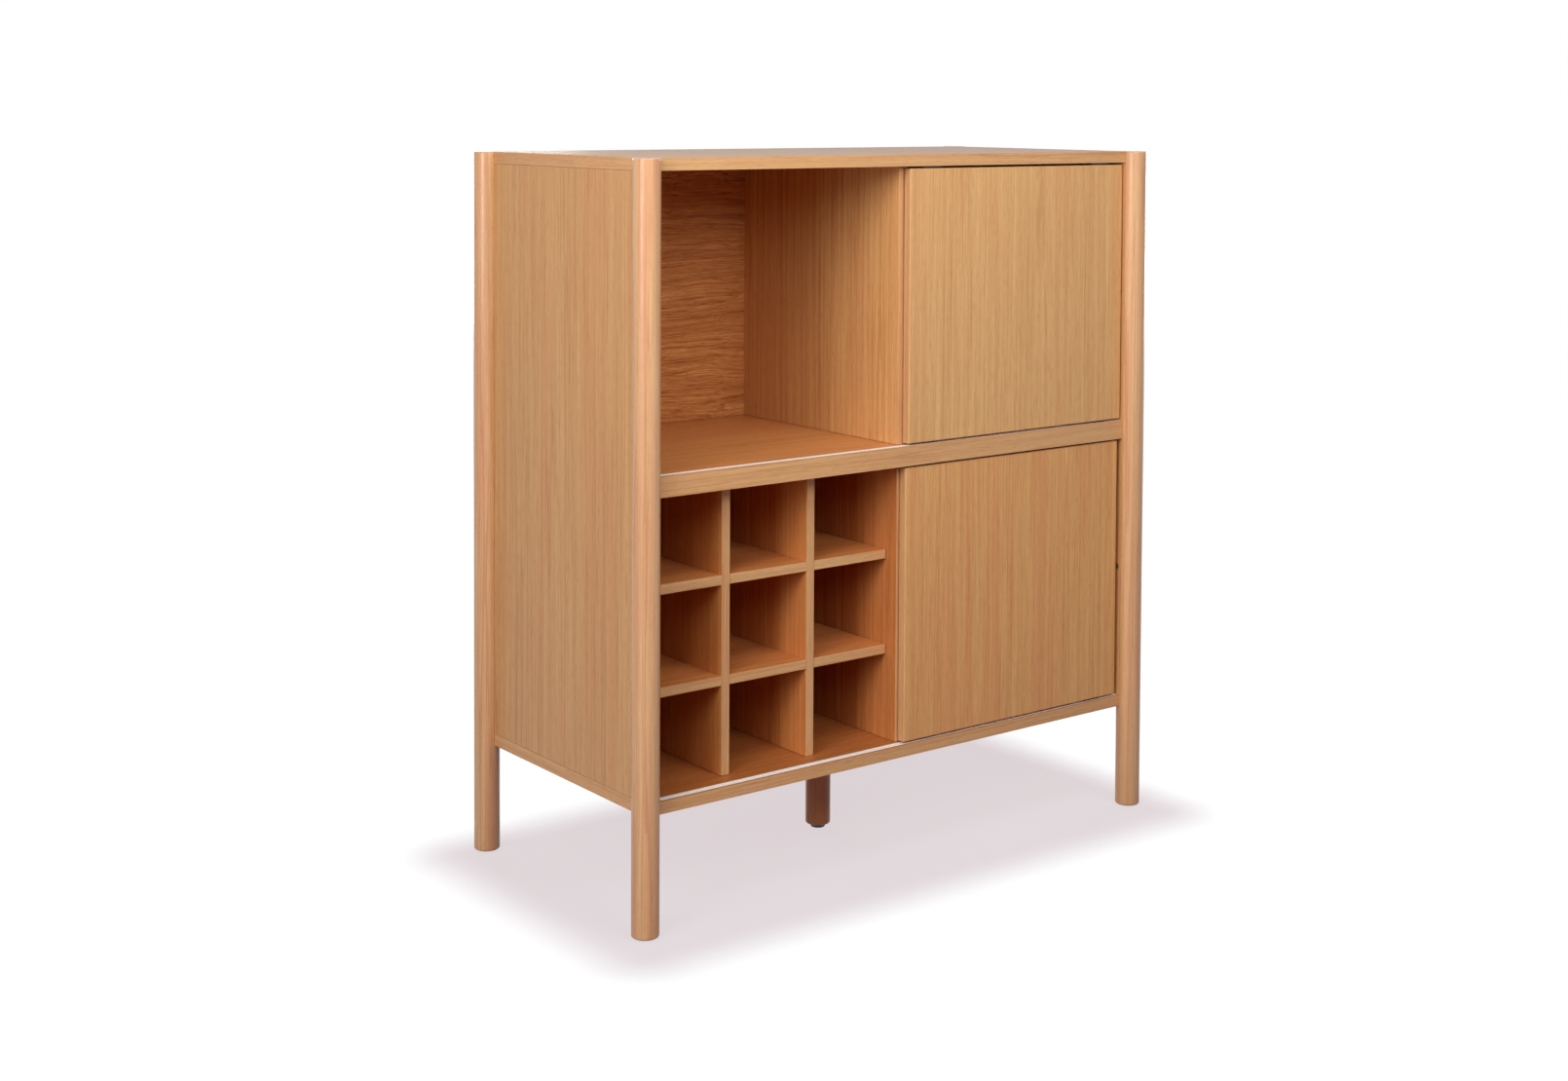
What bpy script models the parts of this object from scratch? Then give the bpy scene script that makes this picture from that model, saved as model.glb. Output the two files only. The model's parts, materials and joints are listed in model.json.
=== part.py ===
"""Wine cabinet: an oak carcass held by four round corner posts that are also its legs, with a short fifth
leg under the middle, an open compartment over a nine-cell bottle rack, and two sliding doors.

Metres, +Z up. The origin is on the floor under the middle of the cabinet. +X runs to the right along the
front and +Y to the back, so the doors face -Y.
"""

import math

import bmesh
import bpy
from mathutils import Matrix, Vector

# Overall size, measured over the posts
WIDTH = 0.830
DEPTH = 0.400
HEIGHT = 0.900

# Posts and legs
POST_DIAMETER = 0.033
POST_EASE = 0.002
POST_SIDES = 40
LEG_HEIGHT = 0.139

# Glides under the legs. The centre leg stands on a taller one, which is seen below it.
POST_GLIDE_HEIGHT = 0.0018
CENTRE_GLIDE_HEIGHT = 0.005
GLIDE_DIAMETER = 0.019
GLIDE_STEM_DIAMETER = 0.006
GLIDE_STEM_LENGTH = 0.014
GLIDE_EASE = 0.0008
GLIDE_SIDES = 16

# Carcass boards
CARCASS_INSET = 0.018
TOP_THICKNESS = 0.015
BOTTOM_THICKNESS = 0.015
SIDE_THICKNESS = 0.015
SHELF_THICKNESS = 0.025
DIVIDER_THICKNESS = 0.015
BACK_THICKNESS = 0.012
BACK_RECESS = 0.010
LOWER_OPENING_HEIGHT = 0.354

# Bottle rack
RACK_COLUMNS = 3
RACK_ROWS = 3
RACK_THICKNESS = 0.012
RACK_SETBACK = 0.035
RACK_END_GAP = 0.001

# Sliding doors
DOOR_THICKNESS = 0.012
DOOR_SETBACK = 0.0025
DOOR_BOTTOM_GAP = 0.0023
DOOR_TOP_GAP = 0.0028
DOOR_SIDE_GAP = 0.002
DOOR_BACK_GAP = 0.0015
DOOR_EASE = 0.0015
LOWER_DOOR_AJAR = 0.0045

# Tracks under the doors and guide rails over them
TRACK_WIDTH = 0.010
TRACK_DEPTH = 0.006
GROOVE_WIDTH = 0.002
GROOVE_DEPTH = 0.004

# Runners and guides in the doors' edges
SHOE_LENGTH = 0.030
SHOE_THICKNESS = 0.006
SHOE_DEPTH = 0.010
SHOE_INSET = 0.025
GUIDE_LIFT = 0.001

# Countersunk screws and wooden dowels
SCREW_DIAMETER = 0.004
SCREW_HEAD_DIAMETER = 0.0075
SCREW_HEAD_DEPTH = 0.0025
SCREW_TIP = 0.002
SCREW_REACH_SHARE = 0.65
LEG_SCREW_LENGTH = 0.045
DOWEL_DIAMETER = 0.008
DOWEL_LENGTH = 0.030
DOWEL_BITE_SHARE = 0.65
DOWEL_PLACE_SHARES = (-0.6, 0.6)
FASTENER_SIDES = 12

# Clearances
JOINT_GAP = 0.0003
RUNNING_GAP = 0.0003
OVERRUN = 0.002

# Planes and centres that follow from the sizes above. A closed door reaches to the middle of the divider.
POST_X = (WIDTH - POST_DIAMETER) / 2
POST_Y = (DEPTH - POST_DIAMETER) / 2
CARCASS_X = WIDTH / 2 - CARCASS_INSET
CARCASS_Y = DEPTH / 2 - CARCASS_INSET
INNER_X = CARCASS_X - SIDE_THICKNESS
FLOOR_Z = LEG_HEIGHT + BOTTOM_THICKNESS
SHELF_UNDER_Z = FLOOR_Z + LOWER_OPENING_HEIGHT
SHELF_Z = SHELF_UNDER_Z + SHELF_THICKNESS
CEILING_Z = HEIGHT - TOP_THICKNESS
DOOR_Y = -CARCASS_Y + DOOR_SETBACK + DOOR_THICKNESS / 2
DOOR_RIGHT_X = INNER_X - DOOR_SIDE_GAP
DOOR_WIDTH = DOOR_RIGHT_X
DIVIDER_FRONT_Y = DOOR_Y + DOOR_THICKNESS / 2 + DOOR_BACK_GAP
RACK_FRONT_Y = -CARCASS_Y + RACK_SETBACK
BACK_Y = CARCASS_Y - BACK_RECESS - BACK_THICKNESS
RACK_MIDDLE_Y = (RACK_FRONT_Y + BACK_Y) / 2
SCREW_Y = CARCASS_Y - (POST_DIAMETER - CARCASS_INSET) / 2

SIDES = {"left": -1, "right": 1}
ENDS = {"front": -1, "rear": 1}


def linear(hex_colour):
    """Linear RGBA of a six-digit sRGB colour."""
    channels = [int(hex_colour[i:i + 2], 16) / 255 for i in (0, 2, 4)]
    return [c / 12.92 if c <= 0.04045 else ((c + 0.055) / 1.055) ** 2.4 for c in channels] + [1.0]


def make_material(name, hex_colour, roughness, metallic=0.0):
    """Plain Principled material."""
    material = bpy.data.materials.new(name)
    material.use_nodes = True
    shader = material.node_tree.nodes["Principled BSDF"]
    shader.inputs["Base Color"].default_value = linear(hex_colour)
    shader.inputs["Roughness"].default_value = roughness
    shader.inputs["Metallic"].default_value = metallic
    material.diffuse_color = linear(hex_colour)
    return material


def add_object(name, data, location, material=None, parent=None):
    """Put an object in the cabinet's collection, or, with no material, among the cutters."""
    thing = bpy.data.objects.new(name, data)
    thing.location = Vector(location)
    if parent is not None:
        thing.parent = parent
        thing.location -= parent.location
    if material is None:
        thing.hide_render = True
        thing.display_type = "WIRE"
        bpy.data.collections["cutters"].objects.link(thing)
    else:
        data.materials.append(material)
        bpy.data.collections["wine_cabinet"].objects.link(thing)
    return thing


def add_box(name, corner, opposite, material=None, parent=None):
    """Box between two opposite corners, its origin at its centre."""
    size = [abs(b - a) for a, b in zip(corner, opposite)]
    centre = [(a + b) / 2 for a, b in zip(corner, opposite)]
    bm = bmesh.new()
    bmesh.ops.create_cube(bm, size=1.0, matrix=Matrix.Diagonal((*size, 1.0)))
    mesh = bpy.data.meshes.new(name)
    bm.to_mesh(mesh)
    bm.free()
    return add_object(name, mesh, centre, material, parent)


def add_rod(name, start, end, radius, sides, material=None):
    """Round rod between two points on one vertical or level line."""
    start = Vector(start)
    end = Vector(end)
    span = end - start
    bm = bmesh.new()
    bmesh.ops.create_cone(bm, cap_ends=True, segments=sides, radius1=radius, radius2=radius, depth=span.length)
    mesh = bpy.data.meshes.new(name)
    bm.to_mesh(mesh)
    bm.free()
    mesh.shade_smooth()
    mesh.set_sharp_from_angle(angle=math.radians(40))
    rod = add_object(name, mesh, (start + end) / 2, material)
    rod.rotation_euler = span.to_track_quat("Z", "Y").to_euler()
    return rod


def add_turned(name, profile, location, sides, material=None, axis=(0, 0, 1)):
    """Turned shape: a profile of (radius, height) points, top to bottom, spun about an axis."""
    bm = bmesh.new()
    points = [bm.verts.new((radius, 0, height)) for radius, height in profile]
    for upper, lower in zip(points, points[1:]):
        bm.edges.new((upper, lower))
    mesh = bpy.data.meshes.new(name)
    bm.to_mesh(mesh)
    bm.free()
    turned = add_object(name, mesh, location, material)
    turned.rotation_euler = Vector(axis).to_track_quat("Z", "Y").to_euler()
    spin = turned.modifiers.new("spin", "SCREW")
    spin.steps = sides
    spin.render_steps = sides
    spin.use_merge_vertices = True
    spin.merge_threshold = 0.00001
    spin.use_smooth_shade = False
    return turned


def add_bar(name, outline, location, length, material, parent=None):
    """Bar along X with a cross-section of (y, z) points."""
    curve = bpy.data.curves.new(name, "CURVE")
    curve.dimensions = "2D"
    curve.fill_mode = "BOTH"
    curve.extrude = length / 2
    spline = curve.splines.new("POLY")
    spline.points.add(len(outline) - 1)
    for point, (y, z) in zip(spline.points, outline):
        point.co = (y, z, 0, 1)
    spline.use_cyclic_u = True
    bar = add_object(name, curve, location, material, parent)
    bar.rotation_euler = (math.pi / 2, 0, math.pi / 2)
    return bar


def cut(target, cutter):
    """Take a cutter's shape out of a piece."""
    modifier = target.modifiers.new(cutter.name, "BOOLEAN")
    modifier.operation = "DIFFERENCE"
    modifier.solver = "EXACT"
    modifier.object = cutter


def ease(target, width, segments):
    """Round a piece's sharp edges."""
    bevel = target.modifiers.new("ease", "BEVEL")
    bevel.width = width
    bevel.segments = segments
    bevel.limit_method = "ANGLE"
    bevel.angle_limit = math.radians(60)


def add_posts(oak):
    """Four corner posts, each rebated along its inner quarter for the carcass corner."""
    posts = {}
    for end, y_sign in ENDS.items():
        for side, x_sign in SIDES.items():
            name = f"post_{end}_{side}"
            x = x_sign * POST_X
            y = y_sign * POST_Y
            post = add_rod(name, (x, y, POST_GLIDE_HEIGHT), (x, y, HEIGHT), POST_DIAMETER / 2, POST_SIDES, oak)
            ease(post, POST_EASE, 2)
            inner_x = POST_X - POST_DIAMETER / 2 - OVERRUN
            inner_y = POST_Y - POST_DIAMETER / 2 - OVERRUN
            rebate = add_box(
                f"rebate_{end}_{side}",
                (x_sign * inner_x, y_sign * inner_y, LEG_HEIGHT - JOINT_GAP),
                (x_sign * (CARCASS_X + JOINT_GAP), y_sign * (CARCASS_Y + JOINT_GAP), HEIGHT + OVERRUN))
            cut(post, rebate)
            posts[end, side] = post
    return posts


def add_centre_leg(oak):
    """Short fifth leg under the middle of the bottom panel."""
    leg = add_rod("centre_leg", (0, 0, CENTRE_GLIDE_HEIGHT), (0, 0, LEG_HEIGHT - JOINT_GAP),
                  POST_DIAMETER / 2, POST_SIDES, oak)
    ease(leg, POST_EASE, 2)
    return leg


def add_glide(name, leg, x, y, height, nylon):
    """Round glide under a leg, its stem pressed into a bore in the leg's end."""
    disc = GLIDE_DIAMETER / 2
    stem = GLIDE_STEM_DIAMETER / 2
    disc_top = height - JOINT_GAP
    stem_top = height + GLIDE_STEM_LENGTH
    profile = [(0, stem_top), (stem, stem_top), (stem, disc_top), (disc, disc_top), (disc, GLIDE_EASE),
               (disc - GLIDE_EASE, 0), (0, 0)]
    add_turned(name, profile, (x, y, 0), GLIDE_SIDES, nylon)
    bore = add_rod(f"bore_{name}", (x, y, 0), (x, y, stem_top + JOINT_GAP), stem + JOINT_GAP, GLIDE_SIDES)
    cut(leg, bore)


def add_glides(posts, centre_leg, nylon):
    """A glide under every leg."""
    for (end, side), post in posts.items():
        add_glide(f"glide_{end}_{side}", post, SIDES[side] * POST_X, ENDS[end] * POST_Y, POST_GLIDE_HEIGHT,
                  nylon)
    add_glide("glide_centre", centre_leg, 0, 0, CENTRE_GLIDE_HEIGHT, nylon)


def add_carcass(oak):
    """Top, bottom, sides and middle shelf."""
    boards = {
        "top": add_box("top_panel", (-CARCASS_X, -CARCASS_Y, CEILING_Z), (CARCASS_X, CARCASS_Y, HEIGHT), oak),
        "bottom": add_box("bottom_panel", (-CARCASS_X, -CARCASS_Y, LEG_HEIGHT), (CARCASS_X, CARCASS_Y, FLOOR_Z),
                          oak),
        "shelf": add_box("middle_shelf", (JOINT_GAP - INNER_X, -CARCASS_Y, SHELF_UNDER_Z),
                         (INNER_X - JOINT_GAP, CARCASS_Y, SHELF_Z), oak)}
    for side, sign in SIDES.items():
        boards[side] = add_box(
            f"side_panel_{side}", (sign * INNER_X, -CARCASS_Y, FLOOR_Z + JOINT_GAP),
            (sign * CARCASS_X, CARCASS_Y, CEILING_Z - JOINT_GAP), oak)
    return boards


def add_compartment_boards(oak):
    """Divider and back panel of the upper and of the lower half."""
    halves = {"upper": (SHELF_Z, CEILING_Z), "lower": (FLOOR_Z, SHELF_UNDER_Z)}
    for half, (floor, ceiling) in halves.items():
        low = floor + JOINT_GAP
        high = ceiling - JOINT_GAP
        add_box(f"{half}_divider", (-DIVIDER_THICKNESS / 2, DIVIDER_FRONT_Y, low),
                (DIVIDER_THICKNESS / 2, BACK_Y - JOINT_GAP, high), oak)
        add_box(f"{half}_back_panel", (JOINT_GAP - INNER_X, BACK_Y, low),
                (INNER_X - JOINT_GAP, BACK_Y + BACK_THICKNESS, high), oak)


def board_places(low, high, cells):
    """Near faces of the rack boards that part a space into equal cells."""
    cell = (high - low - (cells - 1) * RACK_THICKNESS) / cells
    return [low + (i + 1) * cell + i * RACK_THICKNESS for i in range(cells - 1)]


def add_rack(oak):
    """Bottle rack: shelves slotted from the front over uprights that are slotted from the rear."""
    left = -INNER_X
    right = -DIVIDER_THICKNESS / 2
    upright_places = board_places(left, right, RACK_COLUMNS)
    shelf_places = board_places(FLOOR_Z, SHELF_UNDER_Z, RACK_ROWS)
    uprights = [
        add_box(f"rack_upright_{number}", (x, RACK_FRONT_Y, FLOOR_Z + JOINT_GAP),
                (x + RACK_THICKNESS, BACK_Y - JOINT_GAP, SHELF_UNDER_Z - JOINT_GAP), oak)
        for number, x in enumerate(upright_places, 1)]
    shelves = [
        add_box(f"rack_shelf_{number}", (left + RACK_END_GAP, RACK_FRONT_Y, z),
                (right - RACK_END_GAP, BACK_Y - JOINT_GAP, z + RACK_THICKNESS), oak)
        for number, z in enumerate(shelf_places, 1)]
    for number, (shelf, z) in enumerate(zip(shelves, shelf_places), 1):
        rear_slot = add_box(f"rear_slots_{number}", (left, RACK_MIDDLE_Y - JOINT_GAP / 2, z - JOINT_GAP),
                            (right, BACK_Y + OVERRUN, z + RACK_THICKNESS + JOINT_GAP))
        for upright in uprights:
            cut(upright, rear_slot)
    for number, x in enumerate(upright_places, 1):
        front_slot = add_box(
            f"front_slots_{number}", (x - JOINT_GAP, RACK_FRONT_Y - OVERRUN, FLOOR_Z),
            (x + RACK_THICKNESS + JOINT_GAP, RACK_MIDDLE_Y + JOINT_GAP / 2, SHELF_UNDER_Z))
        for shelf in shelves:
            cut(shelf, front_slot)


def channel_outline(facing):
    """Cross-section of a grooved strip: its open face at height zero, turned up (1) or down (-1)."""
    half = TRACK_WIDTH / 2
    groove = GROOVE_WIDTH / 2
    points = [(-half, 0), (-half, -TRACK_DEPTH), (half, -TRACK_DEPTH), (half, 0),
              (groove, 0), (groove, -GROOVE_DEPTH), (-groove, -GROOVE_DEPTH), (-groove, 0)]
    return [(y, facing * z) for y, z in points]


def add_channel(name, board, z, facing, pvc):
    """Grooved strip let flush into a board's face between the side panels."""
    length = 2 * (INNER_X - JOINT_GAP)
    add_bar(name, channel_outline(facing), (0, DOOR_Y, z), length, pvc)
    half = TRACK_WIDTH / 2 + JOINT_GAP
    housing = add_box(f"housing_{name}", (-INNER_X, DOOR_Y - half, z - facing * (TRACK_DEPTH + JOINT_GAP)),
                      (INNER_X, DOOR_Y + half, z + facing * OVERRUN))
    cut(board, housing)


def add_channels(boards, pvc):
    """A track under each door and a guide rail over it."""
    add_channel("lower_door_track", boards["bottom"], FLOOR_Z, 1, pvc)
    add_channel("lower_door_guide_rail", boards["shelf"], SHELF_UNDER_Z, -1, pvc)
    add_channel("upper_door_track", boards["shelf"], SHELF_Z, 1, pvc)
    add_channel("upper_door_guide_rail", boards["top"], CEILING_Z, -1, pvc)


def shoe_outline(reach, facing):
    """Cross-section of a door shoe: a block inside the door's edge and a tongue that reaches out of it."""
    tongue = GROOVE_WIDTH / 2 - RUNNING_GAP
    block = SHOE_THICKNESS / 2
    points = [(-tongue, reach), (-tongue, 0), (-block, 0), (-block, -SHOE_DEPTH),
              (block, -SHOE_DEPTH), (block, 0), (tongue, 0), (tongue, reach)]
    return [(y, facing * z) for y, z in points]


def add_shoe(name, door, x, z, reach, facing, nylon, slide):
    """Shoe in a pocket of the door's bottom or top edge, its tongue in the channel beyond."""
    add_bar(name, shoe_outline(reach, facing), (x, DOOR_Y, z), SHOE_LENGTH, nylon, slide)
    half_length = SHOE_LENGTH / 2 + JOINT_GAP
    half_thickness = SHOE_THICKNESS / 2 + JOINT_GAP
    pocket = add_box(
        f"pocket_{name}",
        (x - half_length, DOOR_Y - half_thickness, z - facing * (SHOE_DEPTH + JOINT_GAP)),
        (x + half_length, DOOR_Y + half_thickness, z + facing * OVERRUN), parent=slide)
    cut(door, pocket)


def add_door(half, floor, ceiling, right, oak, nylon):
    """Sliding door with two runners in its bottom edge and two guides in its top edge."""
    slide = bpy.data.objects.new(f"{half}_door_slide", None)
    slide.location = (right - DOOR_WIDTH / 2, DOOR_Y, floor)
    bpy.data.collections["wine_cabinet"].objects.link(slide)
    bottom = floor + DOOR_BOTTOM_GAP
    top = ceiling - DOOR_TOP_GAP
    door = add_box(f"{half}_door", (right - DOOR_WIDTH, DOOR_Y - DOOR_THICKNESS / 2, bottom),
                   (right, DOOR_Y + DOOR_THICKNESS / 2, top), oak, slide)
    ease(door, DOOR_EASE, 3)
    runner_reach = DOOR_BOTTOM_GAP + GROOVE_DEPTH - RUNNING_GAP
    guide_reach = DOOR_TOP_GAP + GROOVE_DEPTH - GUIDE_LIFT
    for side, sign in SIDES.items():
        x = slide.location.x + sign * (DOOR_WIDTH / 2 - SHOE_INSET - SHOE_LENGTH / 2)
        add_shoe(f"{half}_door_runner_{side}", door, x, bottom, runner_reach, -1, nylon, slide)
        add_shoe(f"{half}_door_guide_{side}", door, x, top, guide_reach, 1, nylon, slide)


def add_doors(oak, nylon):
    """Upper door closed over the right half, lower door a little short of its right end."""
    add_door("upper", SHELF_Z, CEILING_Z, DOOR_RIGHT_X, oak, nylon)
    add_door("lower", FLOOR_Z, SHELF_UNDER_Z, DOOR_RIGHT_X - LOWER_DOOR_AJAR, oak, nylon)


def screw_profile(length, grow, rise):
    """Countersunk screw from its flush head down, grown by a clearance and raised past its face."""
    head = SCREW_HEAD_DIAMETER / 2 + grow
    shank = SCREW_DIAMETER / 2 + grow
    end = -length - grow
    crown = [(0, rise), (head, rise)] + ([(head, 0)] if rise else [])
    return crown + [(shank, -SCREW_HEAD_DEPTH - grow), (shank, end + SCREW_TIP), (0, end)]


def add_screw(name, head_place, axis, length, targets, steel):
    """Flush screw and its countersunk hole through the pieces it joins. The axis points out of its head."""
    sunk = Vector(head_place) - JOINT_GAP * Vector(axis)
    add_turned(name, screw_profile(length - JOINT_GAP, 0, 0), sunk, FASTENER_SIDES, steel, axis)
    hole = add_turned(f"hole_{name}", screw_profile(length, JOINT_GAP, OVERRUN), head_place, FASTENER_SIDES,
                      axis=axis)
    for target in targets:
        cut(target, hole)


def add_post_screws(posts, boards, steel):
    """Two screws into each post through the side panel, one in each half of the cabinet."""
    length = SIDE_THICKNESS + SCREW_REACH_SHARE * CARCASS_INSET
    heights = {"lower": (FLOOR_Z + SHELF_UNDER_Z) / 2, "upper": (SHELF_Z + CEILING_Z) / 2}
    for (end, side), post in posts.items():
        for half, z in heights.items():
            sign = SIDES[side]
            place = (sign * INNER_X, ENDS[end] * SCREW_Y, z)
            add_screw(f"post_screw_{end}_{side}_{half}", place, (-sign, 0, 0), length, (boards[side], post), steel)


def add_dowel(name, plane_point, axis, bite, targets, beech):
    """Dowel across a joint plane: it bites into the board that the axis points into, the rest into the other."""
    axis = Vector(axis)
    high = Vector(plane_point) + bite * axis
    low = high - DOWEL_LENGTH * axis
    radius = DOWEL_DIAMETER / 2
    add_rod(name, low, high, radius, FASTENER_SIDES, beech)
    hole = add_rod(f"hole_{name}", low - JOINT_GAP * axis, high + JOINT_GAP * axis, radius + JOINT_GAP,
                   FASTENER_SIDES)
    for target in targets:
        cut(target, hole)


def add_dowels(boards, beech):
    """Two dowels in every joint between a side panel and the top, the shelf or the bottom."""
    for side, sign in SIDES.items():
        panel = boards[side]
        side_x = sign * (CARCASS_X - SIDE_THICKNESS / 2)
        for end, share in zip(ENDS, DOWEL_PLACE_SHARES):
            y = share * CARCASS_Y
            add_dowel(f"dowel_top_{side}_{end}", (side_x, y, CEILING_Z), (0, 0, 1),
                      DOWEL_BITE_SHARE * TOP_THICKNESS, (boards["top"], panel), beech)
            add_dowel(f"dowel_bottom_{side}_{end}", (side_x, y, FLOOR_Z), (0, 0, -1),
                      DOWEL_BITE_SHARE * BOTTOM_THICKNESS, (boards["bottom"], panel), beech)
            add_dowel(f"dowel_shelf_{side}_{end}", (sign * INNER_X, y, (SHELF_UNDER_Z + SHELF_Z) / 2),
                      (sign, 0, 0), DOWEL_BITE_SHARE * SIDE_THICKNESS, (boards["shelf"], panel), beech)


def clear_scene():
    """Remove the scene's objects and start the two collections."""
    for thing in list(bpy.data.objects):
        bpy.data.objects.remove(thing)
    for name in ("wine_cabinet", "cutters"):
        collection = bpy.data.collections.new(name)
        bpy.context.scene.collection.children.link(collection)


def build():
    """Build the whole cabinet."""
    clear_scene()
    post_oak = make_material("solid_oak_post", "D9A67A", 0.38)
    board_oak = make_material("oak_veneer_board", "C4925F", 0.5)
    door_oak = make_material("oak_veneer_door", "C89660", 0.5)
    black_nylon = make_material("black_nylon", "141414", 0.5)
    white_pvc = make_material("white_pvc", "F0ECE6", 0.4)
    steel = make_material("zinc_plated_steel", "A8A8A4", 0.35, 1.0)
    beech = make_material("beech_dowel", "D8B68C", 0.6)

    posts = add_posts(post_oak)
    centre_leg = add_centre_leg(post_oak)
    add_glides(posts, centre_leg, black_nylon)
    boards = add_carcass(board_oak)
    add_compartment_boards(board_oak)
    add_rack(board_oak)
    add_channels(boards, white_pvc)
    add_doors(door_oak, black_nylon)
    add_post_screws(posts, boards, steel)
    add_screw("centre_leg_screw", (0, 0, FLOOR_Z), (0, 0, 1), LEG_SCREW_LENGTH, (boards["bottom"], centre_leg),
              steel)
    add_dowels(boards, beech)


build()
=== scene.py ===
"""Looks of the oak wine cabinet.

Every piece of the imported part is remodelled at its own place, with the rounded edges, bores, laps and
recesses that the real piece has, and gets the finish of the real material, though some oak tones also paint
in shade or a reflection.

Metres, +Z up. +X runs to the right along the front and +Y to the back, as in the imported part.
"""

import json
import logging
import math
from collections.abc import Callable, Iterable, Iterator
from contextlib import contextmanager
from dataclasses import dataclass
from enum import Enum

import bmesh
import bpy
from mathutils import Matrix, Vector


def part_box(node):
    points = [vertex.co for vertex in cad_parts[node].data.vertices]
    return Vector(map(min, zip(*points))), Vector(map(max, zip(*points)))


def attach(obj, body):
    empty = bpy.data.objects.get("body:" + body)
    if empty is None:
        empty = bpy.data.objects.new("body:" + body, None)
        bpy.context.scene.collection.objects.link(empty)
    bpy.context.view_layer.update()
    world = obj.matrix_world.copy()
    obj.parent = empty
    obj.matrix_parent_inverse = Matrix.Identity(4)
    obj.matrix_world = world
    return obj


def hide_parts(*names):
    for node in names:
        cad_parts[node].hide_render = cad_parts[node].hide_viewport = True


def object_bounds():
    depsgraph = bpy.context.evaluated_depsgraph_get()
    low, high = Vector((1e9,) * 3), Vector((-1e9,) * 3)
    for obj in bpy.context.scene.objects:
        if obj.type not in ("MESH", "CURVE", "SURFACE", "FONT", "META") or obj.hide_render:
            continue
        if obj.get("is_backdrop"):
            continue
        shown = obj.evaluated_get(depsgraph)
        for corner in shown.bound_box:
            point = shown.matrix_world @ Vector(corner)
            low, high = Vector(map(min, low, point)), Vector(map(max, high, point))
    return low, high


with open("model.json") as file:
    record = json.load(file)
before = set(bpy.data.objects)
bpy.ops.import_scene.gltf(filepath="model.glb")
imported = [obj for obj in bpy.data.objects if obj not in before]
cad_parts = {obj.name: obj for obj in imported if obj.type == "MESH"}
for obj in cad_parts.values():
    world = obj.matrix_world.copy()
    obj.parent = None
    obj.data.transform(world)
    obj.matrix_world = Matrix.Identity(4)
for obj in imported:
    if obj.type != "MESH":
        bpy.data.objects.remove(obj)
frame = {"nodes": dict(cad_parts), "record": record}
log = logging.getLogger("wine_cabinet")

Piece = bpy.types.Object
Tree = bpy.types.NodeTree
Socket = bpy.types.NodeSocket
Span = tuple[float, float]
Triple = tuple[float, float, float]
Point = Vector | Triple
Colour = tuple[float, float, float, float]

# Points closer than this count as one
TINY = 0.00001
# Faces that meet at less than these angles are joined to one face, and shaded as one curved surface
FLAT_ANGLE = math.radians(1)
SMOOTH_ANGLE = math.radians(35)
# Gap between two pieces that touch, and how far a cutter reaches past the face that it opens
JOINT_GAP = 0.0003
REACH = 0.002
SIDES = {"left": -1, "right": 1}
ENDS = {"front": -1, "rear": 1}
HALVES = ("upper", "lower")
X, Y, Z = AXES = (0, 1, 2)
WHITE = (1.0, 1.0, 1.0, 1.0)


# Modelling by hand


def select_only(piece: Piece) -> None:
    """Make one piece the only selected and the active one.

    Args:
        piece: the piece.
    """
    bpy.ops.object.select_all(action="DESELECT")
    piece.select_set(True)
    bpy.context.view_layer.objects.active = piece


@contextmanager
def editing(piece: Piece, kind: str) -> Iterator[bmesh.types.BMesh]:
    """Edit mode on one piece, with nothing selected at the start.

    Args:
        piece: the piece to edit.
        kind: what is selected: VERT, EDGE or FACE.

    Yields:
        The piece's mesh.
    """
    select_only(piece)
    bpy.ops.object.mode_set(mode="EDIT")
    bpy.ops.mesh.select_mode(type=kind)
    bpy.ops.mesh.select_all(action="DESELECT")
    yield bmesh.from_edit_mesh(piece.data)
    bpy.ops.object.mode_set(mode="OBJECT")


def pick(parts: Iterable, test: Callable[..., bool]) -> None:
    """Select the vertices, edges or faces that pass a test.

    Args:
        parts: a mesh's vertices, edges or faces.
        test: says of one of them whether it is selected.
    """
    for part in parts:
        if test(part):
            part.select_set(True)


def settle(piece: Piece) -> Piece:
    """Put a piece's place, turn and size into its mesh.

    Args:
        piece: the piece.

    Returns:
        The same piece.
    """
    select_only(piece)
    bpy.ops.object.transform_apply(location=True, rotation=True, scale=True)
    return piece


def name_new(name: str) -> Piece:
    """Name the primitive that was just added, and put its place into its mesh.

    Args:
        name: the name of the piece and its mesh.

    Returns:
        The piece.
    """
    piece = bpy.context.object
    piece.name = name
    piece.data.name = name
    return settle(piece)


def add_block(name: str, low: Point, high: Point) -> Piece:
    """Add a block.

    Args:
        name: its name.
        low: its lowest corner.
        high: its highest corner.

    Returns:
        The block.
    """
    low, high = Vector(low), Vector(high)
    bpy.ops.mesh.primitive_cube_add(size=1.0, location=(low + high) / 2, scale=high - low)
    return name_new(name)


def add_rod(name: str, radius: float, low: float, high: float, sides: int, x: float = 0.0,
            y: float = 0.0) -> Piece:
    """Add an upright rod.

    Args:
        name: its name.
        radius: its radius.
        low: height of its lower end.
        high: height of its upper end.
        sides: number of its faces.
        x: its middle along X.
        y: its middle along Y.

    Returns:
        The rod.
    """
    bpy.ops.mesh.primitive_cylinder_add(vertices=sides, radius=radius, depth=high - low,
                                        location=(x, y, (low + high) / 2))
    return name_new(name)


def round_edges(piece: Piece, width: float, segments: int = 2,
                test: Callable[..., bool] = lambda edge: True) -> None:
    """Round the edges that pass a test, or all of them.

    Args:
        piece: the piece to work on.
        width: radius of the rounding.
        segments: steps of the rounding.
        test: says of an edge whether it is rounded.
    """
    with editing(piece, "EDGE") as mesh:
        pick(mesh.edges, test)
        bpy.ops.mesh.bevel(offset=width, segments=segments, profile=0.5, affect="EDGES")


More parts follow.
